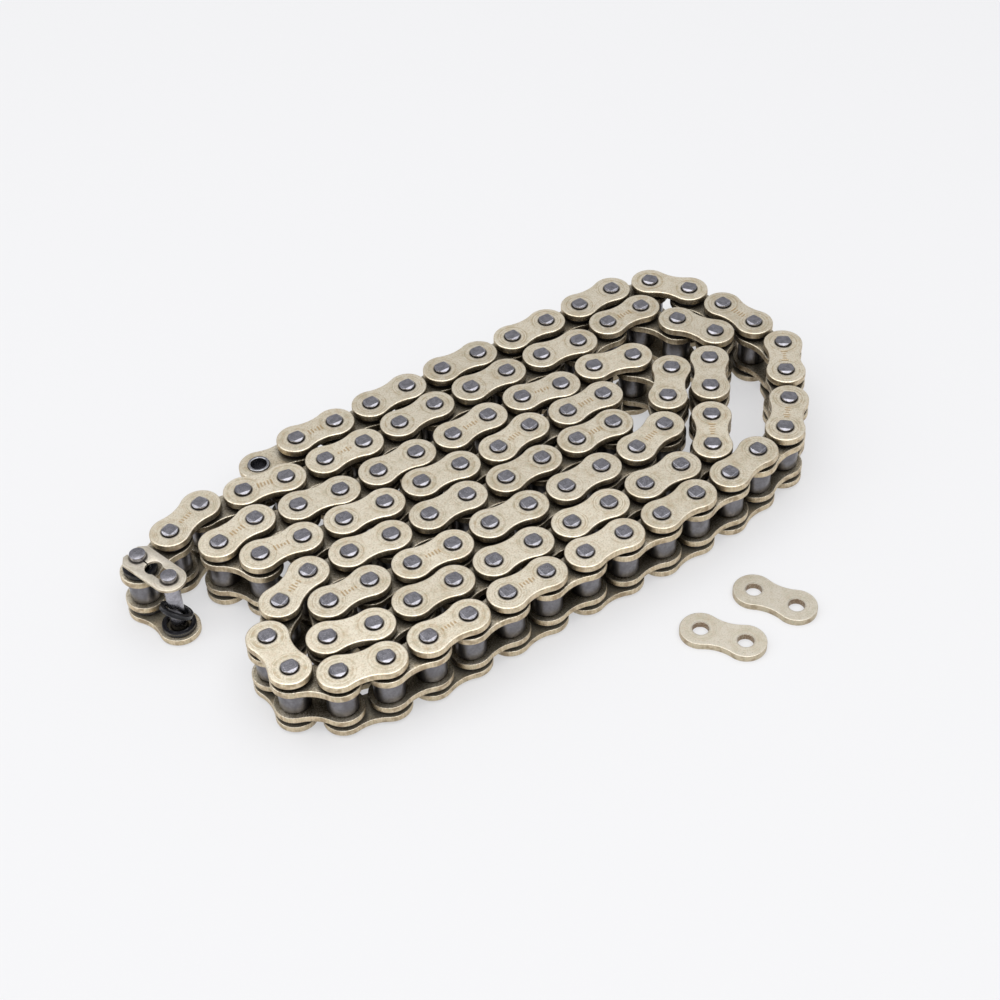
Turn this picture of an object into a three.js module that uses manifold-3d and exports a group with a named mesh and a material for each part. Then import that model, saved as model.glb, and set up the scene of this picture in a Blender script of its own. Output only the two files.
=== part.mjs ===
// A motorcycle drive chain of 108 links with sealing rings. It lies folded on its side, its pins upright.
// One end is an open bush. The other end carries the connecting link with its spring clip, and two loose
// connecting plates lie beside the strand.
// Millimetres, +Z up, X along the rows of the strand, origin under the middle of it all, on the ground.
import * as THREE from 'three';
import { mergeVertices } from 'three/addons/utils/BufferGeometryUtils.js';
import Module from 'manifold-3d';

const wasm = await Module();
wasm.setup();

// Driving dimensions
const pitch = 12.7;
const rollerDiameter = 8.51;
const innerWidth = 7.94;
const plateThickness = 2;
const plateHeight = 11.6;
const waistHeight = 9.2;
const pinDiameter = 4.5;
const pinLength = 21;
const headHeight = 0.9; // how far a pin stands past its outer plates
const headDiameter = 4.8;
const bushDiameter = 6.4;
const bushProud = 0.5; // how far a bush stands past its inner plates
const boreDiameter = 5.3; // through a bush
const sealDiameter = 9.7;
const gap = 0.3; // left between pieces that touch on the real chain
const bushHoleDiameter = 7.2; // in the inner plates and the rollers

// Sizes of the connecting link
const connectingPinLength = 22.5;
const connectingPlateLift = 0.3; // the riveted heads under its lower plate
const clipThickness = 0.8;
const clipWidth = 9.3;
const clipBottom = 20.2;
const clipOverhang = 3.1; // of the open end past its pin
const clipChamfer = 2; // at the corners of the open end
const clipNeckDiameter = 3.5;
const clipEyeDiameter = 4.9;
const clipMouth = 2.4;
const clipSlit = 0.6;
const clipPassage = 3.7; // from the eye to the closed end
const clipNeckHole = 4.2;
const looseSealHeight = 8.4;
const looseSealTilt = 36;
const looseSealLean = 105; // direction of the axis that it tilts about, in degrees from +X
const loosePlateHole = 4.7;

// Heights worked out from them
const middle = pinLength / 2;
const innerPlateLevels = [middle - innerWidth / 2 - plateThickness, middle + innerWidth / 2];
const outerPlateLevels = [headHeight, pinLength - headHeight - plateThickness];
const sealThickness = innerPlateLevels[0] - outerPlateLevels[0] - plateThickness - 2 * gap;
const looseSealThickness = sealThickness + 2 * gap;

// How finely round shapes are cut: corners round a circle, and steps round one end of a plate
const fine = { corners: 10, endSteps: 6 };
const plain = { corners: 8, endSteps: 4 };
const coarse = { corners: 4, endSteps: 3 };
const endSweep = 100; // a plate's rounded end reaches this far each way, in degrees

// The way the strand lies, from the open bush to the connecting link.
// Each stretch is a number of links and the direction they point in, in degrees from +X.
const layout = [
  ...[[2, -1], [3, 2], [1, -1], [3, 1], [1, 3]], // back row
  ...[[1, -18], [1, -54], [1, -73], [1, -81], [1, -86], [2, -126], [1, -135], [2, -167]], // outer loop
  ...[[2, -176], [3, -181], [3, -178], [1, -182], [1, -194]], // front row
  ...[[1, 139], [1, 88], [1, 46], [1, 24]], // left turn
  ...[[1, -1], [1, -5], [2, 2], [1, -3], [2, 3], [1, -1], [1, 67]], // fifth row
  ...[[1, 180], [1, 174], [1, 191], [2, 178], [1, 184], [3, 176], [1, 124]], // fourth row
  ...[[1, 11], [1, -11], [1, -7], [3, 1], [2, 4], [1, -9], [1, 4], [1, -13]], // third row
  ...[[1, -63], [2, -132], [1, -166]], // right turn
  ...[[1, -178], [1, -176], [2, 179], [1, -176], [1, 178], [1, 174], [1, -179], [1, -122]], // sixth row
  ...[[1, -14], [1, 5], [4, -1], [3, 1], [1, 7]], // seventh row
  ...[[3, 53], [1, 44], [1, 116], [1, 115]], // inner loop
  ...[[1, -179], [1, -171], [1, 174], [3, 180], [2, -176], [2, 179], [2, 170]], // second row
  ...[[1, -158], [1, -159], [1, -75]], // tail
];
const headings = layout.flatMap(([links, degrees]) => Array(links).fill(THREE.MathUtils.degToRad(degrees)));
const linkCount = headings.length;
const pinCentres = [new THREE.Vector2(0, 0)];
for (const heading of headings) {
  const step = new THREE.Vector2(pitch, 0).rotateAround(new THREE.Vector2(), heading);
  pinCentres.push(pinCentres.at(-1).clone().add(step));
}
const isOuter = (link) => link % 2 === 1;

// Where the two loose plates lie: the middle of each, from the open bush, and the direction it points in
const loosePlates = [
  { name: 'loose_connecting_plate_far', from: [95.9, -116.4], degrees: -63 },
  { name: 'loose_connecting_plate_near', from: [75.8, -118.8], degrees: -56 },
];

const up = new THREE.Vector3(0, 0, 1);
const strand = new THREE.Group();

// Materials
const champagne = 0xc9bfa6;
const paint = (color, roughness, metalness) => () =>
  new THREE.MeshStandardMaterial({ color, roughness, metalness });
const plateFinish = paint(champagne, 0.36, 0.85);
const steelFinish = paint(0x8b8c92, 0.28, 0.95);
const rollerFinish = paint(0x9a9ca1, 0.3, 0.95);
const sealFinish = paint(0x15161a, 0.35, 0);

// Closed solids from three.js geometry, and back
function solidOf(geometry) {
  geometry.deleteAttribute('normal');
  geometry.deleteAttribute('uv');
  const merged = mergeVertices(geometry, 1e-4);
  const vertProperties = new Float32Array(merged.attributes.position.array);
  const triVerts = new Uint32Array(merged.index.array);
  return new wasm.Manifold(new wasm.Mesh({ numProp: 3, vertProperties, triVerts }));
}

function geometryOf(solid) {
  const { vertProperties, triVerts } = solid.getMesh();
  const geometry = new THREE.BufferGeometry();
  geometry.setAttribute('position', new THREE.BufferAttribute(vertProperties, 3));
  geometry.setIndex(new THREE.BufferAttribute(triVerts, 1));
  geometry.computeVertexNormals();
  return geometry;
}

function joined(geometries) {
  return geometries.map(solidOf).reduce((whole, piece) => whole.add(piece));
}

function addPiece(name, geometry, finish) {
  const mesh = new THREE.Mesh(geometry, finish());
  mesh.name = name;
  strand.add(mesh);
  return mesh;
}

// Outlines
function roundPoints(radius, corners, centre = 0) {
  return Array.from({ length: corners }, (_, i) => {
    const angle = ((i + 0.5) / corners) * 2 * Math.PI;
    return new THREE.Vector2(centre + radius * Math.cos(angle), radius * Math.sin(angle));
  });
}

// A link plate's outline, with its first pin at 0 and its second at one pitch along X
function plateOutline(endSteps) {
  const radius = plateHeight / 2;
  const sweep = THREE.MathUtils.degToRad(endSweep);
  const points = [];
  for (const [centre, facing, side] of [[pitch, 0, 1], [0, Math.PI, -1]]) {
    for (let i = 0; i <= endSteps; i++) {
      const angle = facing - sweep + (2 * sweep * i) / endSteps;
      points.push(new THREE.Vector2(centre + radius * Math.cos(angle), radius * Math.sin(angle)));
    }
    points.push(new THREE.Vector2(pitch / 2, (side * waistHeight) / 2));
  }
  return points;
}

function extruded(points, depth, holes = []) {
  const shape = new THREE.Shape(points);
  shape.holes = holes.map((hole) => new THREE.Path(hole));
  return new THREE.ExtrudeGeometry(shape, { depth, bevelEnabled: false });
}

function plate(detail, holeDiameter = 0) {
  const centres = holeDiameter ? [0, pitch] : [];
  const holes = centres.map((centre) => roundPoints(holeDiameter / 2, detail.corners, centre));
  return extruded(plateOutline(detail.endSteps), plateThickness, holes);
}

function column(diameter, bottom, top, corners) {
  return extruded(roundPoints(diameter / 2, corners), top - bottom).translate(0, 0, bottom);
}

function tube(outerDiameter, boreWidth, bottom, top, corners) {
  const bore = [roundPoints(boreWidth / 2, corners)];
  return extruded(roundPoints(outerDiameter / 2, corners), top - bottom, bore).translate(0, 0, bottom);
}

// Places on the strand: a link's frame has its first pin at the origin and its second along X
function onLink(geometry, link, along = 0, height = 0) {
  const { x, y } = pinCentres[link];
  return geometry.translate(along, 0, height).rotateZ(headings[link]).translate(x, y, 0);
}

// A stretch of the strand as one solid: plates, rollers and pins from one link to another.
// Where the next stretch takes over, the outer side keeps the pin and the inner side the open bush.
function stretch(first, last, detail) {
  const parts = [];
  const bores = [];
  for (let link = first; link <= last; link++) {
    const levels = isOuter(link) ? outerPlateLevels : innerPlateLevels;
    for (const level of levels) parts.push(onLink(plate(detail), link, 0, level));
  }
  for (let pin = first; pin <= last + 1; pin++) {
    const links = [pin - 1, pin].filter((link) => link >= first && link <= last);
    const host = links[0];
    const along = pin === host ? 0 : pitch;
    const put = (diameter, bottom, top, list = parts, corners = detail.corners) =>
      list.push(onLink(column(diameter, bottom, top, corners), host, along));
    const hasPin = links.some(isOuter);
    const hasBush = links.some((link) => !isOuter(link));
    const [innerBottom, innerTop] = innerPlateLevels.map((level) => level + plateThickness / 2);
    const [outerBottom, outerTop] = outerPlateLevels.map((level) => level + plateThickness / 2);
    // Where a stretch ends, its pin runs all the way down and carries it. The others show their upper heads.
    if (hasPin && hasBush) put(headDiameter, outerTop, pinLength);
    else if (hasPin) put(pinDiameter, 0, pinLength, parts, plain.corners);
    if (hasPin && hasBush) put(rollerDiameter, outerBottom, outerTop);
    else if (hasBush) {
      put(rollerDiameter, innerBottom, innerTop, parts, plain.corners);
      put(boreDiameter + gap, 0, pinLength, bores, plain.corners);
    }
  }
  const whole = joined(parts);
  return geometryOf(bores.length ? whole.subtract(joined(bores)) : whole);
}

// A link in its separate pieces
function innerLinkPieces(link, name) {
  ['lower', 'upper'].forEach((side, i) => {
    const shape = onLink(plate(fine, bushHoleDiameter), link, 0, innerPlateLevels[i]);
    addPiece(`${name}_${side}_inner_plate`, shape, plateFinish);
  });
  ['first', 'second'].forEach((side, i) => {
    const bottom = innerPlateLevels[0] - bushProud;
    const bush = tube(bushDiameter, boreDiameter, bottom, pinLength - bottom, fine.corners);
    addPiece(`${name}_${side}_bush`, onLink(bush, link, i * pitch), steelFinish);
    const rollerEnds = [middle - innerWidth / 2 + gap, middle + innerWidth / 2 - gap];
    const roller = tube(rollerDiameter, bushHoleDiameter, ...rollerEnds, fine.corners);
    addPiece(`${name}_${side}_roller`, onLink(roller, link, i * pitch), rollerFinish);
  });
}

function outerLinkPieces(link, name) {
  const pinHole = headDiameter + 2 * gap;
  ['lower', 'upper'].forEach((side, i) => {
    const shape = onLink(plate(fine, pinHole), link, 0, outerPlateLevels[i]);
    addPiece(`${name}_${side}_outer_plate`, shape, plateFinish);
  });
  ['first', 'second'].forEach((side, i) => {
    const pin = column(pinDiameter, 0, pinLength, fine.corners);
    addPiece(`${name}_${side}_pin`, onLink(pin, link, i * pitch), steelFinish);
  });
}

function sealRing(bottom, thickness) {
  const holeWidth = bushDiameter + 3 * gap;
  return tube(sealDiameter, holeWidth, bottom, bottom + thickness, fine.corners);
}

function linkSeals(link, name) {
  const bottoms = [outerPlateLevels[0] + plateThickness + gap, innerPlateLevels[1] + plateThickness + gap];
  ['first', 'second'].forEach((place, i) => {
    ['lower', 'upper'].forEach((side, j) => {
      const ring = onLink(sealRing(bottoms[j], sealThickness), link, i * pitch);
      addPiece(`${name}_${place}_${side}_seal`, ring, sealFinish);
    });
  });
}

// The connecting link: lower plate, two long pins with a groove for the clip, the clip and its seals
function connectingPin() {
  const radius = pinDiameter / 2;
  const neck = clipNeckDiameter / 2;
  const grooveBottom = clipBottom - gap;
  const grooveTop = clipBottom + clipThickness + gap;
  const profile = [[0, 0], [radius, 0], [radius, grooveBottom], [neck, grooveBottom], [neck, grooveTop],
    [radius, grooveTop], [radius, connectingPinLength], [0, connectingPinLength]];
  const points = profile.map(([across, height]) => new THREE.Vector2(across, height));
  return new THREE.LatheGeometry(points, fine.corners).rotateX(Math.PI / 2);
}

function springClip() {
  const radius = clipWidth / 2;
  const outline = [
    new THREE.Vector2(-clipOverhang, clipChamfer - radius),
    new THREE.Vector2(clipChamfer - clipOverhang, -radius),
  ];
  for (let i = 0; i <= fine.endSteps; i++) {
    const angle = Math.PI * (i / fine.endSteps - 0.5);
    outline.push(new THREE.Vector2(pitch + radius * Math.cos(angle), radius * Math.sin(angle)));
  }
  outline.push(new THREE.Vector2(clipChamfer - clipOverhang, radius));
  outline.push(new THREE.Vector2(-clipOverhang, radius - clipChamfer));
  const slot = (from, to, width) => [[from, -width], [to, -width], [to, width], [from, width]]
    .map(([x, y]) => new THREE.Vector2(x, y / 2));
  const cuts = [
    roundPoints(clipNeckHole / 2, fine.corners),
    roundPoints(clipNeckHole / 2, fine.corners, pitch),
    roundPoints(clipEyeDiameter / 2, fine.corners, pitch / 2),
    slot(-2 * clipOverhang, 0, clipMouth),
    slot(0, pitch / 2, clipSlit),
    slot(pitch / 2, pitch, clipPassage),
  ].map((points) => extruded(points, 3 * clipThickness).translate(0, 0, -clipThickness));
  return geometryOf(solidOf(extruded(outline, clipThickness)).subtract(joined(cuts)));
}

function connectingLink(link) {
  const plateTop = connectingPlateLift + plateThickness;
  const lowerPlate = plate(fine, pinDiameter + 2 * gap);
  addPiece('connecting_lower_plate', onLink(lowerPlate, link, 0, connectingPlateLift), plateFinish);
  ['inner', 'free'].forEach((side, i) => {
    addPiece(`connecting_${side}_pin`, onLink(connectingPin(), link, i * pitch), steelFinish);
    const ring = onLink(sealRing(plateTop + gap, looseSealThickness), link, i * pitch);
    addPiece(`connecting_${side}_lower_seal`, ring, sealFinish);
  });
  const upperSeal = sealRing(innerPlateLevels[1] + plateThickness + gap, looseSealThickness);
  addPiece('connecting_inner_upper_seal', onLink(upperSeal, link), sealFinish);
  addPiece('spring_clip', onLink(springClip(), link, 0, clipBottom), plateFinish);
}

// The fourth seal has not been pushed home: it hangs askew on the free pin
function looseSeal(link) {
  const ring = addPiece('loose_seal', sealRing(-looseSealThickness / 2, looseSealThickness), sealFinish);
  const leanAxis = new THREE.Vector3(1, 0, 0).applyAxisAngle(up, THREE.MathUtils.degToRad(looseSealLean));
  ring.quaternion.setFromAxisAngle(leanAxis, THREE.MathUtils.degToRad(looseSealTilt));
  ring.position.set(pinCentres[link + 1].x, pinCentres[link + 1].y, looseSealHeight);
}

function loosePlate({ name, from, degrees }) {
  const shape = plate(fine, loosePlateHole).translate(-pitch / 2, 0, 0);
  const mesh = addPiece(name, shape, plateFinish);
  mesh.position.set(from[0], from[1], 0);
  mesh.rotation.z = THREE.MathUtils.degToRad(degrees);
}

// The strand, from its open bush to its connecting link
const lastLink = linkCount - 1;
innerLinkPieces(0, 'open_end');
outerLinkPieces(1, 'open_end');

// The back row and the outer loop can be unwound, so each of their links is a piece of its own
const firstFreeLink = 2;
const lastFreeLink = 17;
for (let link = firstFreeLink; link <= lastFreeLink; link++) {
  const kind = isOuter(link) ? 'outer' : 'inner';
  addPiece(`${kind}_link_${String(link).padStart(2, '0')}`, stretch(link, link, plain), plateFinish);
}

// The rows inside the fold hold each other, so each is one solid
const innerRows = [
  ['front_row_right_half', 23], ['front_row_left_half', 29], ['fifth_row', 41], ['fourth_row', 51],
  ['third_row', 63], ['right_turn', 67], ['sixth_row', 75], ['seventh_row', 86], ['inner_loop', 92],
  ['second_row', lastLink - 3],
];
let nextLink = lastFreeLink + 1;
for (const [name, last] of innerRows) {
  addPiece(`strand_${name}`, stretch(nextLink, last, coarse), plateFinish);
  nextLink = last + 1;
}

outerLinkPieces(lastLink - 2, 'tail');
linkSeals(lastLink - 2, 'tail');
innerLinkPieces(lastLink - 1, 'tail');
connectingLink(lastLink);
looseSeal(lastLink);
for (const spare of loosePlates) loosePlate(spare);

// The origin goes under the middle of the whole
const bounds = new THREE.Box3().setFromObject(strand);
const centre = bounds.getCenter(new THREE.Vector3());
strand.position.set(-centre.x, -centre.y, -bounds.min.z);

const driveChain = new THREE.Group();
driveChain.add(strand);
export default driveChain;
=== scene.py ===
"""The looks of a motorcycle drive chain: fine meshes, materials, soft studio light and a camera.

Every link of the strand is made from the same few shapes, placed where the frame says, in millimetres.
"""
import math
import random

import bmesh
import bpy
import numpy as np
from mathutils import Matrix, Vector
from mathutils.geometry import tessellate_polygon


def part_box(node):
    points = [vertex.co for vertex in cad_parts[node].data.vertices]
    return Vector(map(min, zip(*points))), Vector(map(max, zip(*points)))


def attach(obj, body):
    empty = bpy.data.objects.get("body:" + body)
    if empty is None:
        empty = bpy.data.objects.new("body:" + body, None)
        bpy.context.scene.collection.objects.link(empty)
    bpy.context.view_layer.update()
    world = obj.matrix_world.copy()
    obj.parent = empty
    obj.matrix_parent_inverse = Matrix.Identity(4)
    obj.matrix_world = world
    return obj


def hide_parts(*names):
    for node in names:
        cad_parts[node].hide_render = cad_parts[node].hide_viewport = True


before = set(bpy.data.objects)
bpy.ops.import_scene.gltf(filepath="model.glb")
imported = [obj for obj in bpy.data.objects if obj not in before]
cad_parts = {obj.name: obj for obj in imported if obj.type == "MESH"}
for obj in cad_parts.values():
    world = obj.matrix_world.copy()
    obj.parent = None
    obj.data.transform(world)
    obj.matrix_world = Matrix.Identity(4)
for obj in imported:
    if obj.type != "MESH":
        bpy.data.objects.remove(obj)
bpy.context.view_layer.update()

MM = 0.001
PITCH = 12.7

# Sizes of the shapes, in millimetres
END_RADIUS = 5.8
WAIST_HALF = 4.6
PIN_RADIUS = 2.25
BUSH_RADIUS = 3.2
BORE_RADIUS = 2.33
ROLLER_RADIUS = 4.255
SEAL_RADIUS = 4.85
SEAL_HOLE = 3.3
FIT = 0.03  # the play that is left in a pressed hole

# The way the strand lies, from the open bush to the connecting link: links and direction in degrees
LAYOUT = [
    (2, -1), (3, 2), (1, -1), (3, 1), (1, 3),  # back row
    (1, -18), (1, -54), (1, -73), (1, -81), (1, -86), (2, -126), (1, -135), (2, -167),  # outer loop
    (2, -176), (3, -181), (3, -178), (1, -182), (1, -194),  # front row
    (1, 139), (1, 88), (1, 46), (1, 24),  # left turn
    (1, -1), (1, -5), (2, 2), (1, -3), (2, 3), (1, -1), (1, 67),  # fifth row
    (1, 180), (1, 174), (1, 191), (2, 178), (1, 184), (3, 176), (1, 124),  # fourth row
    (1, 11), (1, -11), (1, -7), (3, 1), (2, 4), (1, -9), (1, 4), (1, -13),  # third row
    (1, -63), (2, -132), (1, -166),  # right turn
    (1, -178), (1, -176), (2, 179), (1, -176), (1, 178), (1, 174), (1, -179), (1, -122),  # sixth row
    (1, -14), (1, 5), (4, -1), (3, 1), (1, 7),  # seventh row
    (3, 53), (1, 44), (1, 116), (1, 115),  # inner loop
    (1, -179), (1, -171), (1, 174), (3, 180), (2, -176), (2, 179), (2, 170),  # second row
    (1, -158), (1, -159), (1, -75),  # tail
]
# The CAD nodes that hold a whole stretch of links, and the last link of each
STRETCHES = [
    ("strand_front_row_right_half", 23), ("strand_front_row_left_half", 29), ("strand_fifth_row", 41),
    ("strand_fourth_row", 51), ("strand_third_row", 63), ("strand_right_turn", 67), ("strand_sixth_row", 75),
    ("strand_seventh_row", 86), ("strand_inner_loop", 92), ("strand_second_row", 104),
]
FIRST_FREE_LINK = 2
LAST_FREE_LINK = 17


def millimetres(node):
    """A CAD node's lowest and highest corners, in millimetres."""
    return [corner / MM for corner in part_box(node)]


def middle_of(node):
    low, high = millimetres(node)
    return (low + high) / 2


# Heights, from the frame
OUTER_LEVELS = [millimetres(f"open_end_{side}_outer_plate") for side in ("lower", "upper")]
INNER_LEVELS = [millimetres(f"open_end_{side}_inner_plate") for side in ("lower", "upper")]
PLATE_THICKNESS = OUTER_LEVELS[0][1].z - OUTER_LEVELS[0][0].z
PIN_LENGTH = millimetres("open_end_first_pin")[1].z
HEAD_HEIGHT = PIN_LENGTH - OUTER_LEVELS[1][1].z
BUSH_ENDS = [corner.z for corner in millimetres("open_end_first_bush")]
SEAL_HEIGHT = INNER_LEVELS[0][0].z - OUTER_LEVELS[0][1].z

# Places, from the frame
HEADINGS = [math.radians(degrees) for links, degrees in LAYOUT for _ in range(links)]
PINS = [middle_of("open_end_first_bush").to_2d()]
for heading in HEADINGS:
    PINS.append(PINS[-1] + Vector((math.cos(heading), math.sin(heading))) * PITCH)
LAST_LINK = len(HEADINGS) - 1

chance = random.Random(428)


# Shapes: (points, quads, triangles), in millimetres, in the frame of a link or of a pin

def shape(points, quads=(), triangles=()):
    return (
        np.array(points, float).reshape(-1, 3),
        np.array(quads, int).reshape(-1, 4),
        np.array(triangles, int).reshape(-1, 3),
    )


def joined(*shapes):
    """Several shapes as one."""
    points, quads, triangles, start = [], [], [], 0
    for p, q, t in shapes:
        points.append(p)
        quads.append(q + start)
        triangles.append(t + start)
        start += len(p)
    return np.concatenate(points), np.concatenate(quads), np.concatenate(triangles)


def moved(one, offset=(0, 0, 0), flip=False):
    """A shape moved, and turned over about its own X axis first where flip is set."""
    points, quads, triangles = one
    if flip:
        points = points * np.array([1, -1, -1])
    return points + np.array(offset, float), quads, triangles


def strips(rings, count, closed=False):
    """Quads between rings of count points that follow each other in the list of points."""
    quads = []
    last = rings if closed else rings - 1
    for ring in range(last):
        a, b = ring * count, ((ring + 1) % rings) * count
        for i in range(count):
            j = (i + 1) % count
            quads.append((a + i, a + j, b + j, b + i))
    return quads


def lathe(profile, steps, dent=None):
    """A profile of (radius, height) turned about Z. It closes on itself, or starts and ends on the axis."""
    on_axis = profile[0][0] == 0
    rings = profile[1:-1] if on_axis else profile
    points = []
    for radius, height in rings:
        for i in range(steps):
            angle = 2 * math.pi * i / steps
            r = radius - (dent(angle, radius, height) if dent else 0)
            points.append((r * math.cos(angle), r * math.sin(angle), height))
    quads = strips(len(rings), steps, closed=not on_axis)
    triangles = []
    if on_axis:
        bottom, top = len(points), len(points) + 1
        points += [(0, 0, profile[0][1]), (0, 0, profile[-1][1])]
        last = (len(rings) - 1) * steps
        for i in range(steps):
            j = (i + 1) % steps
            triangles += [(bottom, j, i), (top, last + i, last + j)]
    return shape(points, quads, triangles)


def quarter(radius, steps=4):
    """How far in and how far up a rounded edge is at each step, from the side to the face."""
    turns = [math.pi / 2 * i / steps for i in range(steps + 1)]
    return [(radius * (1 - math.cos(a)), radius * math.sin(a)) for a in turns]


def outline(inset):
    """A link plate's outline: an arc round each pin and a hollow arc at each side of the waist."""
    end_steps, waist_steps = 30, 9
    waist_radius = ((PITCH / 2) ** 2 + WAIST_HALF**2 - END_RADIUS**2) / (2 * (END_RADIUS - WAIST_HALF))
    waist_centre = WAIST_HALF + waist_radius
    lean = math.atan2(waist_centre, PITCH / 2)
    end, hollow = END_RADIUS - inset, waist_radius + inset
    arcs = [
        (PITCH, 0, end, lean - math.pi, math.pi - lean, end_steps),
        (PITCH / 2, waist_centre, hollow, -lean, lean - math.pi, waist_steps),
        (0, 0, end, lean, 2 * math.pi - lean, end_steps),
        (PITCH / 2, -waist_centre, hollow, math.pi - lean, lean, waist_steps),
    ]
    points = []
    for x, y, radius, start, stop, steps in arcs:
        for i in range(steps):
            a = start + (stop - start) * i / steps
            points.append((x + radius * math.cos(a), y + radius * math.sin(a)))
    return points


def circle(radius, x, steps):
    return [(x + radius * math.cos(2 * math.pi * i / steps), radius * math.sin(2 * math.pi * i / steps))
            for i in range(steps)]


def plate(hole, thickness, upper_edge=0.34, lower_edge=0.16, hole_edge=0.12):
    """A link plate with two holes, its underside at height 0 and a well rounded upper edge."""
    hole_steps = 40
    flat = 0.1  # a ring beside each rounding that keeps the faces' shading even
    cut = 0.04  # how far in the middle of a hole's rounded rim is
    section = [(lower_edge + flat, 0)]
    section += [(inset, lower_edge - rise) for inset, rise in reversed(quarter(lower_edge, 3))]
    section += [(0, thickness * 0.5)]
    section += [(inset, thickness - upper_edge + rise) for inset, rise in quarter(upper_edge)]
    section += [(upper_edge + flat, thickness)]
    points, count = [], len(outline(0))
    for inset, height in section:
        points += [(x, y, height) for x, y in outline(inset)]
    quads = strips(len(section), count)
    rim = [(hole_edge + flat, 0), (hole_edge, 0), (cut, cut), (0, hole_edge)]
    wall = [(wider, thickness - height) for wider, height in rim]
    wall += reversed(rim)
    starts = []
    for x in (0, PITCH):
        starts.append(len(points))
        for wider, height in wall:
            points += [(px, py, height) for px, py in circle(hole + wider, x, hole_steps)]
        quads += [tuple(starts[-1] + i for i in q) for q in strips(len(wall), hole_steps)]
    triangles = []
    for height, ring, hole_ring in ((0, 0, len(wall) - 1), (thickness, len(section) - 1, 0)):
        loops = [range(ring * count, (ring + 1) * count)]
        loops += [range(s + hole_ring * hole_steps, s + (hole_ring + 1) * hole_steps) for s in starts]
        order = [i for loop in loops for i in loop]
        found = tessellate_polygon([[Vector(points[i]) for i in loop] for loop in loops])
        for a, b, c in found:
            corners = [order[a], order[b], order[c]]
            pa, pb, pc = (np.array(points[i][:2]) for i in corners)
            upward = (pb[0] - pa[0]) * (pc[1] - pa[1]) - (pb[1] - pa[1]) * (pc[0] - pa[0]) > 0
            triangles.append(corners if upward == (height > 0) else corners[::-1])
    return shape(points, quads, triangles)


HEAD_RADIUS = 2.31
TOP_HALF = 1.7  # from the middle of a head to the edge of a stamped facet, on the top
TOP_BREAK = 0.05  # how far in the broken edge of a head's top starts
FACET_SLOPE = math.radians(31)
FACETS = 4


def facet(angle, radius, height):
    """How much the four facets that the rivet punch leaves take off a pin's head."""
    from_end = min(height, PIN_LENGTH - height)
    turn = 2 * math.pi / FACETS
    off_facet = (angle + turn / 2) % turn - turn / 2
    limit = (TOP_HALF + from_end / math.tan(FACET_SLOPE)) / math.cos(off_facet)
    inward = max(0, HEAD_RADIUS - TOP_BREAK - radius) if from_end == 0 else 0
    return max(0, radius + inward - limit)


def pin():
    """A riveted pin: a short round head at each end with a flat top and four facets."""
    swell = HEAD_RADIUS - PIN_RADIUS
    shoulder = HEAD_HEIGHT - 0.26
    side_steps, side_step = 11, 0.055
    top = [(PIN_RADIUS, HEAD_HEIGHT), (HEAD_RADIUS - swell * 0.3, HEAD_HEIGHT - 0.12)]
    top += [(HEAD_RADIUS, shoulder - side_step * step) for step in range(side_steps)]
    top += [(HEAD_RADIUS - 0.01, TOP_BREAK), (HEAD_RADIUS - TOP_BREAK, 0), (HEAD_RADIUS - 0.2, 0)]
    bottom = list(reversed(top))
    upper = [(radius, PIN_LENGTH - depth) for radius, depth in top]
    return lathe([(0, 0), *bottom, *upper, (0, PIN_LENGTH)], 64, facet)


def tube(outer, inner, bottom, top, edge, steps):
    """A tube with rounded rims."""
    rim = quarter(edge, 3)
    outside = [(outer - i, bottom + edge - up) for i, up in reversed(rim)]
    outside += [(outer - i, top - edge + up) for i, up in rim]
    inside = [(inner + i, top - edge + up) for i, up in reversed(rim)]
    inside += [(inner + i, bottom + edge - up) for i, up in rim]
    return lathe(outside + inside, steps)


def sealing_ring(height):
    """A ring of four-lobed section, its middle at height 0."""
    steps, around = 48, 20
    body, lobes, squareness = 0.86, 0.13, 0.55
    centre, half_width = (SEAL_RADIUS + SEAL_HOLE) / 2, (SEAL_RADIUS - SEAL_HOLE) / 2
    profile = []
    for i in range(around):
        a = 2 * math.pi * i / around
        reach = body * (1 - lobes * math.cos(4 * a)) * max(abs(math.cos(a)), abs(math.sin(a))) ** -squareness
        profile.append((centre + half_width * reach * math.cos(a), height / 2 * reach * math.sin(a)))
    return lathe(profile, steps)


# Meshes

def place_matrix(link, along=0, height=0):
    """From a link's frame to the row frame: its first pin at the origin and its second along X."""
    x, y = PINS[link]
    turn = Matrix.Rotation(HEADINGS[link], 4, "Z")
    return Matrix.Translation((x, y, height)) @ turn @ Matrix.Translation((along, 0, 0))


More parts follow.
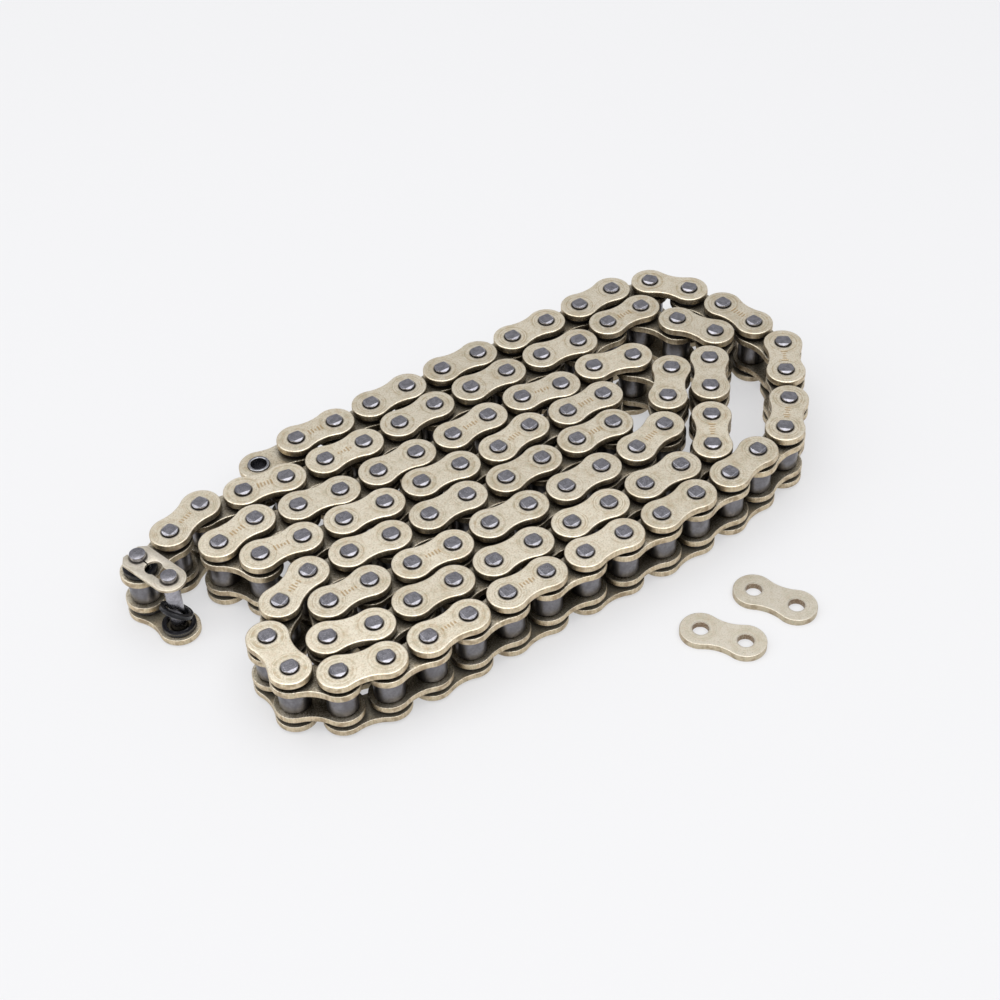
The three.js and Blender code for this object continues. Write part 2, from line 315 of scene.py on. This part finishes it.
class Piece:
    """One mesh, gathered from shapes that are each placed by a matrix.

    Each point also keeps its place on its link, a chance value for its own shape, and whether its shape is
    stamped and gets less oil and painted shade than others.
    """

    def __init__(self, name, body, slot, material, replaced=()):
        self.name, self.body, self.slot, self.material = name, body, slot, material
        self.replaced = replaced
        self.shapes, self.places, self.chances = [], [], []
        self.stamps, self.dry = [], []

    def add(self, one, matrix, along=0, stamped=False, dry=False):
        points, quads, triangles = one
        turn = np.array(matrix)
        self.shapes.append((points @ turn[:3, :3].T + turn[:3, 3], quads, triangles))
        self.places.append(points + np.array([along, 0, 0]))
        self.chances.append(np.full(len(points), chance.random()))
        self.stamps.append(np.full(len(points), float(stamped)))
        self.dry.append(np.full(len(points), float(dry)))
        return self

    def make(self, sharp=34):
        points, quads, triangles = joined(*self.shapes)
        mesh = bpy.data.meshes.new(self.name)
        mesh.vertices.add(len(points))
        mesh.vertices.foreach_set("co", (points * MM).astype(np.float32).ravel())
        corners = np.concatenate([quads.ravel(), triangles.ravel()])
        sizes = np.concatenate([np.full(len(quads), 4), np.full(len(triangles), 3)])
        mesh.loops.add(len(corners))
        mesh.loops.foreach_set("vertex_index", corners.astype(np.int32))
        mesh.polygons.add(len(sizes))
        mesh.polygons.foreach_set("loop_start", (np.cumsum(sizes) - sizes).astype(np.int32))
        mesh.update(calc_edges=True)
        mesh.validate()
        attributes = [
            ("place", "FLOAT_VECTOR", "vector", self.places),
            ("chance", "FLOAT", "value", self.chances),
            ("stamped", "FLOAT", "value", self.stamps),
            ("dry", "FLOAT", "value", self.dry),
        ]
        for name, kind, key, values in attributes:
            data = mesh.attributes.new(name, kind, "POINT").data
            data.foreach_set(key, np.concatenate(values).astype(np.float32).ravel())
        mesh.polygons.foreach_set("use_smooth", np.ones(len(mesh.polygons), bool))
        mesh.set_sharp_from_angle(angle=math.radians(sharp))
        mesh.materials.append(self.material)
        obj = bpy.data.objects.new(self.name, mesh)
        bpy.context.scene.collection.objects.link(obj)
        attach(obj, self.body)
        if self.replaced:
            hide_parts(*self.replaced)
        return obj


# Materials

class Nodes:
    """A node tree that is written as calls."""

    def __init__(self, tree):
        self.tree = tree

    def add(self, kind, *values, out=0, **settings):
        """A node with its inputs in order: None leaves an input as it is. Returns one of its outputs."""
        node = self.tree.nodes.new(kind)
        for key, value in settings.items():
            setattr(node, key, value)
        for socket, value in zip(node.inputs, values):
            self.plug(socket, value)
        return node.outputs[out]

    def plug(self, socket, value):
        if isinstance(value, bpy.types.NodeSocket):
            self.tree.links.new(value, socket)
        elif value is not None:
            socket.default_value = value

    def math(self, operation, *values):
        return self.add("ShaderNodeMath", *values, operation=operation)

    def vector(self, operation, *values, out=0):
        return self.add("ShaderNodeVectorMath", *values, operation=operation, out=out)

    def attribute(self, name, out=2):
        return self.add("ShaderNodeAttribute", attribute_name=name, out=out)

    def noise(self, coordinates, scale, detail=2.0, roughness=0.5):
        node = self.tree.nodes.new("ShaderNodeTexNoise")
        self.plug(node.inputs["Vector"], coordinates)
        node.inputs["Scale"].default_value = scale
        node.inputs["Detail"].default_value = detail
        node.inputs["Roughness"].default_value = roughness
        return node.outputs["Fac"]

    def ramp(self, value, low, high, start=0.0, stop=1.0):
        """A value taken from the range low..high to start..stop, smoothly."""
        return self.add("ShaderNodeMapRange", value, low, high, start, stop, interpolation_type="SMOOTHSTEP")

    def bell(self, value, centre, width):
        """1 where value is at centre, falling to 0 over width each way."""
        away = self.math("ABSOLUTE", self.math("SUBTRACT", value, centre))
        return self.ramp(away, 0.0, width, 1.0, 0.0)

    def mix(self, amount, first, second):
        """A colour between two others."""
        node = self.tree.nodes.new("ShaderNodeMix")
        node.data_type = "RGBA"
        self.plug(node.inputs[0], amount)
        self.plug(node.inputs[6], first)
        self.plug(node.inputs[7], second)
        return node.outputs[2]

    def bump(self, height, strength, distance):
        node = self.tree.nodes.new("ShaderNodeBump")
        node.inputs["Strength"].default_value = strength
        node.inputs["Distance"].default_value = distance
        self.plug(node.inputs["Height"], height)
        return node.outputs["Normal"]


def material(name, **fixed):
    """A material and its nodes, with the shader's fixed values set on its own sockets."""
    made = bpy.data.materials.new(name)
    made.use_nodes = True
    nodes = Nodes(made.node_tree)
    shader = made.node_tree.nodes["Principled BSDF"]
    for key, value in fixed.items():
        shader.inputs[key.replace("_", " ")].default_value = value
    return made, nodes, shader


def colour(red, green, blue):
    return red, green, blue, 1.0


def own_place(nodes):
    """Each shape's own coordinates in millimetres, moved so that no two show the same pattern."""
    spread = 60.0
    place = nodes.attribute("place", out=1)
    shift = nodes.math("MULTIPLY", nodes.attribute("chance"), spread)
    return place, nodes.vector("ADD", place, nodes.add("ShaderNodeCombineXYZ", shift, shift, 0.0))


# Colours of what lies on the metal, and of the painted shade in its recesses and joints
WHITE = colour(1, 1, 1)
TARNISH = colour(0.5, 0.55, 0.4)
BROWN = colour(0.3, 0.21, 0.12)
RUST = colour(0.3, 0.18, 0.11)
SPECK = colour(0.16, 0.12, 0.07)
STAMPED = colour(0.5, 0.33, 0.15)
OIL_AND_SHADE = colour(0.034, 0.021, 0.007)
SOOT_AND_CONTACT_SHADE = colour(0.03, 0.024, 0.018)
GRIME_AND_SHADE = colour(0.012, 0.011, 0.01)
LESS_OIL_AND_SHADE_SHARE = 0.5  # of the oil and painted shade, on the shapes that are marked for less of it
OIL_AND_SHADE_REACH = 14 * MM  # how far from other pieces oil and painted shade gather on plates
CONTACT_REACH = 2.5 * MM  # and grime and painted shade on bare steel


def plating(name, face, stain, edge, oil_and_shade_level=1.0):
    """Champagne nickel plating: tool rings round the pins, stains and fine grain, oil and painted shade in
    the recesses.
    """
    roughness = 0.36
    ring_centre, ring_width = 4.1, 1.5  # of the band of tool rings round a pin
    contact, clear = 2.45, 2.95  # from the pin's middle: where the dark line round it, dirt at the joint and painted contact shadow, starts and ends
    made, nodes, shader = material(name, Metallic=0.86)
    place, own = own_place(nodes)
    part = nodes.add("ShaderNodeSeparateXYZ", place, out=0).node
    x, y = part.outputs[0], part.outputs[1]
    second = nodes.math("SUBTRACT", x, PITCH)
    near = nodes.math("MINIMUM", nodes.math("ABSOLUTE", x), nodes.math("ABSOLUTE", second))
    from_pin = nodes.vector("LENGTH", nodes.add("ShaderNodeCombineXYZ", near, y, 0.0), out=1)
    facing = nodes.add("ShaderNodeSeparateXYZ", nodes.add("ShaderNodeNewGeometry", out=1), out=2)
    facing = nodes.math("ABSOLUTE", facing)
    side = nodes.ramp(facing, 0.25, 0.8, 1.0, 0.0)

    cloud = nodes.noise(own, 0.16, 3.0, 0.6)
    patch = nodes.noise(own, 0.45, 2.0, 0.5)
    grain = nodes.noise(own, 2.1, 5.0, 0.75)
    streaks = nodes.noise(nodes.vector("MULTIPLY", own, (1.4, 1.4, 0.18)), 1.5, 3.0, 0.6)
    seed = nodes.math("MULTIPLY", nodes.attribute("chance"), 90.0)
    turned = nodes.noise(nodes.add("ShaderNodeCombineXYZ", from_pin, seed, 0.0), 2.6, 2.0, 0.6)
    band = nodes.bell(from_pin, ring_centre, ring_width)
    band = nodes.math("MULTIPLY", band, nodes.ramp(patch, 0.3, 0.6, 0.15, 1.0))
    rings = nodes.math("MULTIPLY", nodes.ramp(turned, 0.42, 0.62), band)

    hue = nodes.ramp(nodes.noise(own, 1.1, 3.0, 0.6), 0.4, 0.6)
    stain = nodes.mix(hue, stain, nodes.mix(0.35, stain, TARNISH))
    base = nodes.mix(nodes.ramp(cloud, 0.42, 0.72, 0.0, 0.35), face, stain)
    base = nodes.mix(nodes.ramp(patch, 0.5, 0.66, 0.0, 0.22), base, stain)
    base = nodes.mix(nodes.ramp(grain, 0.43, 0.66, 0.0, 0.66), base, stain)
    base = nodes.mix(nodes.math("MULTIPLY", rings, 0.9), base, stain)
    sides = nodes.mix(nodes.ramp(streaks, 0.4, 0.6, 0.0, 0.95), edge, stain)
    sides = nodes.mix(nodes.ramp(patch, 0.46, 0.68, 0.0, 0.75), sides, BROWN)
    base = nodes.mix(nodes.math("MULTIPLY", side, 0.9), base, sides)
    hole_wall = nodes.math("MULTIPLY", side, nodes.ramp(from_pin, 2.4, 2.6, 1.0, 0.0))
    rust = nodes.math("MULTIPLY", hole_wall, nodes.ramp(grain, 0.4, 0.6, 0.25, 0.95))
    base = nodes.mix(rust, base, RUST)
    specks = nodes.ramp(nodes.noise(own, 2.4, 2.0, 0.5), 0.66, 0.74, 0.0, 0.5)
    base = nodes.mix(specks, base, SPECK)
    marks = stamp(nodes, x, y, facing)
    base = nodes.mix(nodes.math("MULTIPLY", marks, 0.75), base, STAMPED)
    oil_and_shade_amount = nodes.ramp(nodes.attribute("dry"), 0.0, 1.0, oil_and_shade_level, LESS_OIL_AND_SHADE_SHARE * oil_and_shade_level)
    # oil and painted shade: darker wherever ambient occlusion finds other pieces near
    base = nodes.mix(nodes.math("MULTIPLY", oil_and_shade(nodes, side, grain), oil_and_shade_amount), base, OIL_AND_SHADE)
    # a dark ring round each pin head: dirt at the joint and painted contact shadow under the head
    base = nodes.mix(nodes.ramp(from_pin, contact, clear, 0.9 * oil_and_shade_level, 0.0), base, SOOT_AND_CONTACT_SHADE)
    tone = nodes.ramp(nodes.attribute("chance"), 0.0, 1.0, 0.95, 1.04)
    nodes.plug(shader.inputs["Base Color"], nodes.vector("SCALE", base, None, None, tone))

    worn = nodes.ramp(grain, 0.3, 0.8, roughness - 0.06, roughness + 0.1)
    nodes.plug(shader.inputs["Roughness"], nodes.math("ADD", worn, nodes.math("MULTIPLY", side, 0.1)))
    height = nodes.math("MULTIPLY", nodes.noise(own, 2.8, 5.0, 0.75), 0.8)
    height = nodes.math("ADD", height, nodes.math("MULTIPLY", streaks, nodes.math("MULTIPLY", side, 0.8)))
    height = nodes.math("SUBTRACT", height, nodes.math("MULTIPLY", rings, 0.4))
    height = nodes.math("SUBTRACT", height, nodes.math("MULTIPLY", marks, 2.2))
    nodes.plug(shader.inputs["Normal"], nodes.bump(height, 0.5, 0.03 * MM))
    return made


def oil_and_shade(nodes, side, grain):
    """How much dark oil and painted shade a surface gets: most in the recesses, in specks at their edges."""
    # painted shade from ambient occlusion, broken up by oil specks
    unseen = nodes.add("ShaderNodeAmbientOcclusion", WHITE, OIL_AND_SHADE_REACH, samples=4, out=1)
    unseen = nodes.math("ADD", unseen, nodes.math("MULTIPLY", nodes.math("SUBTRACT", 0.5, grain), 0.9))
    faces = nodes.ramp(unseen, 0.28, 0.8, 0.95, 0.0)
    sides = nodes.ramp(unseen, 0.24, 0.58, 0.93, 0.0)
    return nodes.add("ShaderNodeMix", side, None, faces, sides)


def stamp(nodes, x, y, facing):
    """A row of plain short bars between the pins, on the stamped plates only. Returns where they show."""
    half_period, bar_half, row_half = 0.5, 0.2, 2.3
    shortest, longest = 0.4, 1.0  # how far a bar reaches from the middle line
    soft = 0.1
    along = nodes.math("SUBTRACT", x, PITCH / 2)
    bar = nodes.math("PINGPONG", along, half_period)
    bars = nodes.ramp(bar, bar_half, bar_half + soft, 1.0, 0.0)
    span = nodes.ramp(nodes.math("ABSOLUTE", along), row_half, row_half + soft / 2, 1.0, 0.0)
    number = nodes.math("FLOOR", nodes.math("ADD", along, half_period))
    number = nodes.math("ADD", number, nodes.attribute("chance"))
    drawn = nodes.add("ShaderNodeTexWhiteNoise", None, number, noise_dimensions="1D")
    reach = nodes.ramp(drawn, 0.0, 1.0, shortest, longest)
    height = nodes.ramp(nodes.math("SUBTRACT", nodes.math("ABSOLUTE", y), reach), 0.0, soft, 1.0, 0.0)
    flat = nodes.ramp(facing, 0.9, 0.98)
    cut = nodes.math("MULTIPLY", nodes.math("MULTIPLY", bars, span), nodes.math("MULTIPLY", height, flat))
    return nodes.math("MULTIPLY", cut, nodes.attribute("stamped"))


def steel(name, light, dark, roughness, scale=1.6):
    """Bare steel: cloudy grey with fine grain, dark with grime and painted shade where it meets other pieces.
    """
    made, nodes, shader = material(name, Metallic=1.0)
    _, own = own_place(nodes)
    cloud = nodes.noise(own, scale * 0.5, 3.0, 0.6)
    grain = nodes.noise(own, scale * 2, 4.0, 0.7)
    base = nodes.mix(nodes.ramp(cloud, 0.3, 0.7), light, dark)
    base = nodes.mix(nodes.ramp(grain, 0.4, 0.7, 0.0, 0.4), base, dark)
    # grime and painted shade where other pieces are near, from ambient occlusion
    unseen = nodes.add("ShaderNodeAmbientOcclusion", WHITE, CONTACT_REACH, samples=4, out=1)
    base = nodes.mix(nodes.ramp(unseen, 0.35, 0.85, 0.95, 0.0), base, GRIME_AND_SHADE)
    nodes.plug(shader.inputs["Base Color"], base)
    nodes.plug(shader.inputs["Roughness"], nodes.ramp(grain, 0.3, 0.75, roughness - 0.04, roughness + 0.08))
    nodes.plug(shader.inputs["Normal"], nodes.bump(grain, 0.3, 0.02 * MM))
    return made


def black_rubber():
    """Black sealing rubber with a film of grease."""
    made, nodes, shader = material("seal_rubber", Metallic=0.0)
    shader.inputs["Specular IOR Level"].default_value = 0.3
    shader.inputs["Coat Weight"].default_value = 0.2
    shader.inputs["Coat Roughness"].default_value = 0.1
    _, own = own_place(nodes)
    cloud = nodes.noise(own, 0.9, 3.0, 0.6)
    base = nodes.mix(cloud, colour(0.006, 0.006, 0.008), colour(0.022, 0.022, 0.026))
    nodes.plug(shader.inputs["Base Color"], base)
    nodes.plug(shader.inputs["Roughness"], nodes.ramp(cloud, 0.3, 0.7, 0.2, 0.42))
    nodes.plug(shader.inputs["Normal"], nodes.bump(nodes.noise(own, 3.0, 3.0, 0.6), 0.3, 0.03 * MM))
    return made


PLATE = plating("plate_plating", colour(0.98, 0.9, 0.74), colour(0.6, 0.46, 0.28), colour(0.74, 0.62, 0.44))
SPARE = plating(
    "loose_plate_plating",
    colour(0.8, 0.74, 0.63),
    colour(0.58, 0.49, 0.35),
    colour(0.62, 0.53, 0.38),
    oil_and_shade_level=0.2,
)
CLIP = plating(
    "clip_plating",
    colour(0.87, 0.8, 0.69),
    colour(0.64, 0.55, 0.42),
    colour(0.6, 0.51, 0.38),
    oil_and_shade_level=0.8,
)
PIN_STEEL = steel("pin_steel", colour(0.44, 0.43, 0.47), colour(0.28, 0.275, 0.3), 0.22)
BUSH_STEEL = steel("bush_steel", colour(0.5, 0.5, 0.52), colour(0.3, 0.3, 0.32), 0.22)
ROLLER_STEEL = steel("roller_steel", colour(0.24, 0.235, 0.25), colour(0.16, 0.155, 0.165), 0.33, scale=0.7)
RUBBER = black_rubber()

# The shapes of a link
OUTER_PLATE = plate(PIN_RADIUS + FIT, PLATE_THICKNESS)
INNER_PLATE = plate(BUSH_RADIUS + FIT, PLATE_THICKNESS)
PIN = pin()
BUSH = tube(BUSH_RADIUS, BORE_RADIUS, *BUSH_ENDS, 0.24, 40)
ROLLER_ENDS = [INNER_LEVELS[0][1].z + FIT, INNER_LEVELS[1][0].z - FIT]
ROLLER = tube(ROLLER_RADIUS, BUSH_RADIUS + FIT, *ROLLER_ENDS, 0.4, 48)
SEAL = sealing_ring(SEAL_HEIGHT)
SEAL_LEVELS = [
    (OUTER_LEVELS[0][1].z + INNER_LEVELS[0][0].z) / 2,
    (OUTER_LEVELS[1][0].z + INNER_LEVELS[1][1].z) / 2,
]


def is_outer(link):
    return link % 2 == 1


def add_plates(piece, link, sides=(0, 1), stamped=False):
    one, levels = (OUTER_PLATE, OUTER_LEVELS) if is_outer(link) else (INNER_PLATE, INNER_LEVELS)
    for side in sides:
        upper = side == 1
        shaped = one if upper else moved(one, (0, 0, PLATE_THICKNESS), flip=True)
        place = place_matrix(link, height=levels[side][0].z)
        piece.add(shaped, place, stamped=stamped and upper, dry=is_outer(link) and not upper)


def add_round(piece, one, link, ends=(0, 1), heights=(0,)):
    for end in ends:
        for height in heights:
            piece.add(one, place_matrix(link, end * PITCH, height))


def whole_links(name, links, body):
    """All pieces of some links, grouped by what they are: plates, pins, bushes, rollers and seals."""
    outer = [link for link in links if is_outer(link)]
    inner = [link for link in links if not is_outer(link)]
    plates = Piece(f"{name}_plates", body, "plate", PLATE, [name])
    for link in links:
        add_plates(plates, link, stamped=is_outer(link) and chance.random() < 0.5)
    plates.make()
    kinds = [
        ("pins", "pin", PIN_STEEL, PIN, outer, (0,)),
        ("seals", "seal", RUBBER, SEAL, outer, SEAL_LEVELS),
        ("bushes", "bush", BUSH_STEEL, BUSH, inner, (0,)),
        ("rollers", "roller", ROLLER_STEEL, ROLLER, inner, (0,)),
    ]
    for kind, slot, made_of, one, on, heights in kinds:
        if on:
            piece = Piece(f"{name}_{kind}", body, slot, made_of)
            for link in on:
                add_round(piece, one, link, heights=heights)
            piece.make()


def separate_inner_link(link, name):
    """An inner link whose pieces are each shown on their own."""
    body = f"{name}_inner_link"
    for side, word in enumerate(("lower", "upper")):
        piece = Piece(f"{name}_{word}_inner_side", body, "plate", PLATE, [f"{name}_{word}_inner_plate"])
        add_plates(piece, link, (side,))
        piece.make()
    for end, word in enumerate(("first", "second")):
        piece = Piece(f"{name}_{word}_bushing", body, "bush", BUSH_STEEL, [f"{name}_{word}_bush"])
        add_round(piece, BUSH, link, (end,))
        piece.make()
        roller = Piece(f"{name}_{word}_turning_roller", f"{name}_{word}_roller", "roller", ROLLER_STEEL,
                       [f"{name}_{word}_roller"])
        add_round(roller, ROLLER, link, (end,))
        roller.make()


def separate_outer_link(link, name, cad_seals):
    """An outer link whose plates, pins and seals are each shown on their own."""
    body = f"{name}_outer_link"
    for side, word in enumerate(("lower", "upper")):
        piece = Piece(f"{name}_{word}_outer_side", body, "plate", PLATE, [f"{name}_{word}_outer_plate"])
        add_plates(piece, link, (side,), stamped=True)
        piece.make()
    for end, word in enumerate(("first", "second")):
        piece = Piece(f"{name}_{word}_staked_pin", body, "pin", PIN_STEEL, [f"{name}_{word}_pin"])
        add_round(piece, PIN, link, (end,))
        piece.make()
        for side, level in zip(("lower", "upper"), SEAL_LEVELS):
            cad = [f"{name}_{word}_{side}_seal"] if cad_seals else []
            ring = Piece(f"{name}_{word}_{side}_ring", body, "seal", RUBBER, cad)
            add_round(ring, SEAL, link, (end,), (level,))
            ring.make()


# The connecting link

def connecting_pin():
    """A plain pin with a groove for the clip, its top edge lightly rounded."""
    low, high = millimetres("connecting_free_pin")
    clip_low, clip_high = millimetres("spring_clip")
    neck, rounding, play = PIN_RADIUS - 0.45, 0.16, 0.04
    edge = [(PIN_RADIUS - inset, high.z - rounding + rise) for inset, rise in quarter(rounding, 3)]
    foot = [(radius, low.z + high.z - height) for radius, height in reversed(edge)]
    groove = [
        (PIN_RADIUS, clip_low.z - 2 * play),
        (neck, clip_low.z - play),
        (neck, clip_high.z + play),
        (PIN_RADIUS, clip_high.z + 2 * play),
    ]
    return lathe([(0, low.z), *foot, *groove, *edge, (0, high.z)], 60)


def spring_clip():
    """The clip: a flat strip with a round closed end, a wide eye in its middle and a slit to its open end."""
    low, high = millimetres("spring_clip")
    thickness = high.z - low.z
    half, eye, seat = 4.65, 2.45, PIN_RADIUS - 0.4
    mouth, slit = 1.15, 0.17  # halves of their widths
    overhang, chamfer = 3.1, 2.0
    rounding = 0.1

    def arc(x, radius, start, stop, steps):
        turns = [start + (stop - start) * i / steps for i in range(steps + 1)]
        return [(x + radius * math.cos(a), radius * math.sin(a)) for a in turns]

    def opening(radius, half_gap):
        return math.asin(half_gap / radius)

    seat_mouth, seat_slit, eye_slit = opening(seat, mouth), opening(seat, slit), opening(eye, slit)
    upper = [(-overhang, mouth)]
    upper += arc(0, seat, math.pi - seat_mouth, seat_slit, 14)
    upper += arc(PITCH / 2, eye, math.pi - eye_slit, opening(eye, seat), 16)
    upper += arc(PITCH, seat, math.pi / 2, 0, 10)
    inside = upper + [(x, -y) for x, y in reversed(upper[:-1])]
    outside = [(-overhang, chamfer - half), (chamfer - overhang, -half)]
    outside += arc(PITCH, half, -math.pi / 2, math.pi / 2, 26)
    outside += [(chamfer - overhang, half), (-overhang, half - chamfer)]
    loop = outside + inside
    mesh = bmesh.new()
    corners = [mesh.verts.new((x, y, 0)) for x, y in loop]
    face = mesh.faces.new(corners)
    lifted = bmesh.ops.extrude_face_region(mesh, geom=[face])
    for element in lifted["geom"]:
        if isinstance(element, bmesh.types.BMVert):
            element.co.z += thickness
    bmesh.ops.recalc_face_normals(mesh, faces=mesh.faces)
    rims = [e for e in mesh.edges if e.verts[0].co.z == e.verts[1].co.z]
    bmesh.ops.bevel(mesh, geom=rims, offset=rounding, segments=3, affect="EDGES", profile=0.5)
    bmesh.ops.triangulate(mesh, faces=[f for f in mesh.faces if len(f.verts) > 4])
    mesh.verts.index_update()
    points = [tuple(v.co) for v in mesh.verts]
    quads = [[v.index for v in f.verts] for f in mesh.faces if len(f.verts) == 4]
    triangles = [[v.index for v in f.verts] for f in mesh.faces if len(f.verts) == 3]
    mesh.free()
    return moved(shape(points, quads, triangles), (0, 0, low.z))


def connecting_link(link):
    body = "connecting_link"
    low, high = millimetres("connecting_lower_plate")
    plate_piece = Piece("connecting_lower_side", body, "plate", PLATE, ["connecting_lower_plate"])
    lower_plate = moved(OUTER_PLATE, (0, 0, PLATE_THICKNESS), flip=True)
    plate_piece.add(lower_plate, place_matrix(link, height=low.z), dry=True)
    plate_piece.make()
    long_pin = connecting_pin()
    for end, word in enumerate(("inner", "free")):
        piece = Piece(f"connecting_{word}_long_pin", body, "pin", PIN_STEEL, [f"connecting_{word}_pin"])
        add_round(piece, long_pin, link, (end,))
        piece.make()
        ring = Piece(f"connecting_{word}_lower_ring", body, "seal", RUBBER, [f"connecting_{word}_lower_seal"])
        add_round(ring, SEAL, link, (end,), (high.z + SEAL_HEIGHT / 2,))
        ring.make()
    upper = Piece("connecting_inner_upper_ring", body, "seal", RUBBER, ["connecting_inner_upper_seal"])
    add_round(upper, SEAL, link, (0,), (INNER_LEVELS[1][1].z + SEAL_HEIGHT / 2,))
    upper.make()
    clip = Piece("clip_of_connecting_link", body, "clip", CLIP, ["spring_clip"])
    clip.add(spring_clip(), place_matrix(link))
    clip.make(sharp=25)


def loose_ring(link):
    """The sealing ring that hangs askew on the free pin."""
    lean, tilted_by = math.radians(105), math.radians(36)
    centre = middle_of("loose_seal")
    tilt = Matrix.Rotation(tilted_by, 4, Vector((math.cos(lean), math.sin(lean), 0)))
    x, y = PINS[link + 1]
    piece = Piece("loose_ring", "loose_seal", "seal", RUBBER, ["loose_seal"])
    piece.add(SEAL, Matrix.Translation((x, y, centre.z)) @ tilt)
    piece.make()


def loose_plate(side, degrees):
    """One of the two plates that lie beside the strand, with sharper edges than the others."""
    node = f"loose_connecting_plate_{side}"
    centre = middle_of(node)
    turn = Matrix.Rotation(math.radians(degrees), 4, "Z")
    piece = Piece(f"spare_plate_{side}", node, "loose_plate", SPARE, [node])
    sharp_plate = plate(PIN_RADIUS + FIT, PLATE_THICKNESS, upper_edge=0.16, lower_edge=0.1, hole_edge=0.06)
    one = moved(sharp_plate, (-PITCH / 2, 0, 0))
    piece.add(one, Matrix.Translation((centre.x, centre.y, 0)) @ turn, along=PITCH / 2)
    piece.make()


def chain():
    separate_inner_link(0, "open_end")
    separate_outer_link(1, "open_end", cad_seals=False)
    for link in range(FIRST_FREE_LINK, LAST_FREE_LINK + 1):
        name = f"{'outer' if is_outer(link) else 'inner'}_link_{link:02d}"
        whole_links(name, [link], name)
    first = LAST_FREE_LINK + 1
    for name, last in STRETCHES:
        whole_links(name, range(first, last + 1), "folded_strand")
        first = last + 1
    separate_outer_link(LAST_LINK - 2, "tail", cad_seals=True)
    separate_inner_link(LAST_LINK - 1, "tail")
    connecting_link(LAST_LINK)
    loose_ring(LAST_LINK)
    loose_plate("far", -63)
    loose_plate("near", -56)


# The studio

TARGET = Vector((-7.8, 5.4, PIN_LENGTH)) * MM
AZIMUTH, ELEVATION, ROLL = math.radians(31.91), math.radians(44.24), math.radians(-2.81)
DISTANCE = 525.8 * MM
LENS = 68.4


def towards_camera(azimuth=AZIMUTH, elevation=ELEVATION):
    level = math.cos(elevation)
    return Vector((-math.sin(azimuth) * level, -math.cos(azimuth) * level, math.sin(elevation)))


def camera():
    made = bpy.data.objects.new("camera", bpy.data.cameras.new("camera"))
    made.data.lens = LENS
    made.data.sensor_width = 36
    made.data.clip_start, made.data.clip_end = 0.01, 20
    made.location = TARGET + towards_camera() * DISTANCE
    made.rotation_mode = "QUATERNION"
    look = (-towards_camera()).to_track_quat("-Z", "Y")
    made.rotation_quaternion = look @ Matrix.Rotation(ROLL, 3, "Z").to_quaternion()
    bpy.context.scene.collection.objects.link(made)
    bpy.context.scene.camera = made


def floor():
    made, nodes, shader = material("studio_floor", Metallic=0.0)
    shader.inputs["Roughness"].default_value = 0.9
    soft = nodes.noise(nodes.add("ShaderNodeTexCoord", out=3), 1.5, 2.0)
    base = nodes.mix(soft, colour(0.355, 0.355, 0.36), colour(0.37, 0.37, 0.37))
    shader.inputs["Emission Color"].default_value = colour(0.95, 0.95, 0.965)
    shader.inputs["Emission Strength"].default_value = 0.5
    nodes.plug(shader.inputs["Base Color"], base)
    mesh = bpy.data.meshes.new("studio_floor")
    size = 4.0
    corners = [(-size, -size, 0), (size, -size, 0), (size, size, 0), (-size, size, 0)]
    mesh.from_pydata(corners, [], [(0, 1, 2, 3)])
    mesh.materials.append(made)
    obj = bpy.data.objects.new("studio_floor", mesh)
    bpy.context.scene.collection.objects.link(obj)


def softbox(name, azimuth, elevation, distance, size, power):
    """A rectangular light that faces the strand, at an angle round it from the camera's side."""
    data = bpy.data.lights.new(name, "AREA")
    data.shape = "RECTANGLE"
    data.size, data.size_y = size
    data.energy = power
    obj = bpy.data.objects.new(name, data)
    back = towards_camera(AZIMUTH + math.radians(azimuth), math.radians(elevation))
    obj.location = TARGET + back * distance
    obj.rotation_mode = "QUATERNION"
    obj.rotation_quaternion = (-back).to_track_quat("-Z", "Y")
    bpy.context.scene.collection.objects.link(obj)


def studio():
    world = bpy.data.worlds.new("studio")
    world.use_nodes = True
    background = world.node_tree.nodes["Background"]
    background.inputs["Color"].default_value = colour(0.955, 0.96, 0.99)
    background.inputs["Strength"].default_value = 0.45
    bpy.context.scene.world = world
    bpy.context.scene.view_settings.view_transform = "Standard"
    softbox("front_softbox", -18, 52, 1.1, (0.7, 0.5), 1.5)
    softbox("top_softbox", 0, 88, 1.2, (1.6, 1.6), 14)
    softbox("left_fill", 80, 35, 1.3, (0.6, 0.8), 2.5)


camera()
studio()
floor()
chain()
